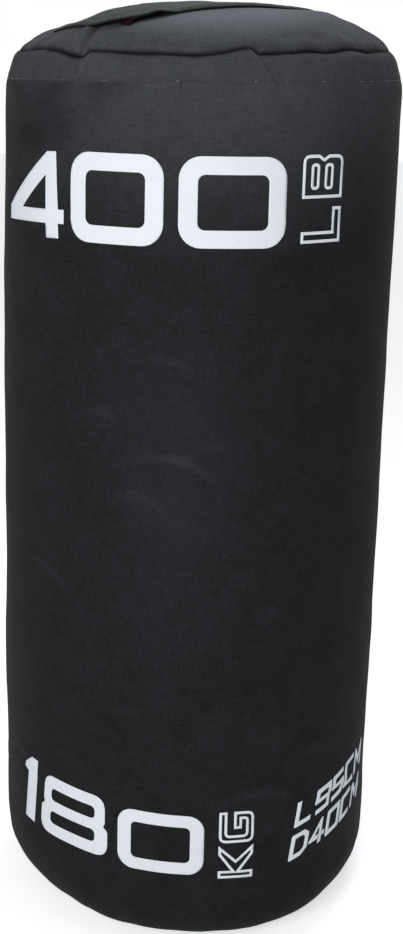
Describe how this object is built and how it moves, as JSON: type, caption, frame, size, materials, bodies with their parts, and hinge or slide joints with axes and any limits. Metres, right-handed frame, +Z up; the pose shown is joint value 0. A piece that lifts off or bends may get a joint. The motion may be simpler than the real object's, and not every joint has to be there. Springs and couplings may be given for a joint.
{
  "type": "sandbag trainer",
  "caption": "Tall round training sandbag of black cloth with a domed top, a zip closure under a wide cover flap, a tied inner liner and packed sand.",
  "frame": {"origin": "on the floor, at the middle of the flat base", "axes": "+Z up along the bag's axis, -Y towards the side that carries the large weight marks, +X to the right of someone facing them"},
  "size_m": [0.4, 0.4, 0.947],
  "materials": {
    "shell_cloth": "matte",
    "top_cloth": "matte",
    "flap_cloth": "matte",
    "binding_tape": "matte",
    "zip_tape": "matte",
    "grip_tape": "matte",
    "red_ribbon": "matte",
    "zip_teeth": "satin",
    "zip_metal": "satin",
    "liner_sheet": "satin",
    "tie_cord": "matte",
    "sand": "matte"
  },
  "bodies": {
    "bag": {"side_panel": "shell_cloth", "top_panel": "top_cloth", "base_panel": "shell_cloth", "top_seam_binding": "binding_tape", "base_seam_binding": "binding_tape", "side_seam_tape": "binding_tape", "base_reinforcement": "shell_cloth", "zip_tape_hinge_side": "zip_tape", "zip_tape_edge_side": "zip_tape", "zip_teeth_hinge_side": "zip_teeth", "zip_teeth_edge_side": "zip_teeth", "zip_closed_stop_hinge_side": "zip_metal", "zip_closed_stop_edge_side": "zip_metal", "zip_open_stop": "zip_metal", "flap_hem": "flap_cloth", "loop_tape": "grip_tape", "inner_liner": "liner_sheet", "liner_tie": "tie_cord", "sand_fill": "sand"},
    "flap": {"closure_flap": "flap_cloth", "hook_tape": "grip_tape", "flap_pull_tab": "red_ribbon"},
    "slider": {"zip_slider": "zip_metal"},
    "pull": {"zip_pull": "zip_metal"}
  },
  "joints": [
    {"name": "flap_hinge", "type": "hinge", "parent": "bag", "child": "flap", "pos_m": [-0.03072, 0.02578, 0.94284], "axis": [-0.6428, -0.766, 0], "range_deg": [0, 150]},
    {"name": "slider_travel", "type": "hinge", "parent": "bag", "child": "slider", "pos_m": [0, 0, 0.188], "axis": [-0.766, 0.6428, 0], "range_deg": [0, 17]},
    {"name": "pull_swing", "type": "hinge", "parent": "slider", "child": "pull", "pos_m": [-0.06722, -0.08945, 0.93466], "axis": [-0.089, -0.1185, 0.989], "range_deg": [-30, 30]}
  ]
}
